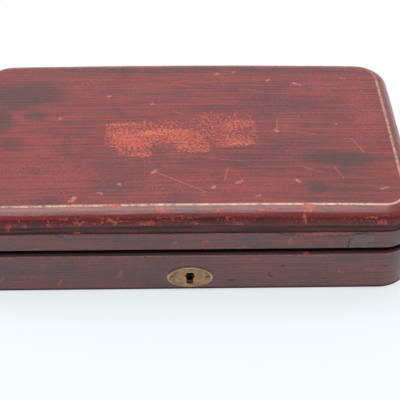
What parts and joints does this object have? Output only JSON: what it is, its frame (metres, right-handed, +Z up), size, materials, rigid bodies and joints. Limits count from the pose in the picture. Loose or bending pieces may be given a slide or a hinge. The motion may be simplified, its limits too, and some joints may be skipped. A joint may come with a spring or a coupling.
{
  "type": "jewellery case",
  "caption": "Low leather-covered jewellery case with a hinged, crowned lid, rounded shoulders, padded lining and a box lock behind an oval keyhole plate.",
  "frame": {"origin": "middle of the underside that the case stands on", "axes": "+X along the width to the right, +Y to the hinged back, +Z up; the front with the keyhole faces -Y"},
  "size_m": [0.236, 0.1441, 0.0534],
  "materials": {
    "red_leather": "worn straight-grain leather",
    "dark_leather": "plain dark leather",
    "pine": "bare softwood",
    "velvet": "deep red velvet",
    "silk": "padded silk",
    "brass": "dull aged brass",
    "lock_steel": "plain sheet and bar steel",
    "spring_steel": "blued spring strip"
  },
  "bodies": {
    "base": {"base_frame": "pine", "base_bottom_board": "pine", "base_side_leather": "red_leather", "base_bottom_leather": "dark_leather", "base_lining": "velvet", "base_floor_pad": "velvet", "lock_case": "lock_steel", "lock_cap": "lock_steel", "lock_face_plate": "brass", "lock_drill_pin": "lock_steel", "lock_spring": "spring_steel", "lock_screws": "brass", "escutcheon": "brass", "escutcheon_pins": "brass", "hinge_base_leaf_left": "brass", "hinge_base_leaf_right": "brass", "hinge_pin_left": "brass", "hinge_pin_right": "brass", "hinge_base_screws": "brass"},
    "lid": {"lid_frame": "pine", "lid_top_board": "pine", "lid_top_leather": "red_leather", "lid_band_leather": "red_leather", "lid_lining": "silk", "lid_pad": "silk", "lid_catch": "brass", "lid_catch_screws": "brass", "hinge_lid_leaf_left": "brass", "hinge_lid_leaf_right": "brass", "hinge_lid_screws": "brass"},
    "bolt": {"lock_bolt": "lock_steel"}
  },
  "joints": [
    {"name": "lid_hinge", "type": "hinge", "parent": "base", "child": "lid", "pos_m": [0, 0.0697, 0.02665], "axis": [-1, 0, 0], "range_deg": [0, 100]},
    {"name": "bolt_slide", "type": "slide", "parent": "base", "child": "bolt", "axis": [1, 0, 0], "range_m": [0, 0.004]}
  ]
}
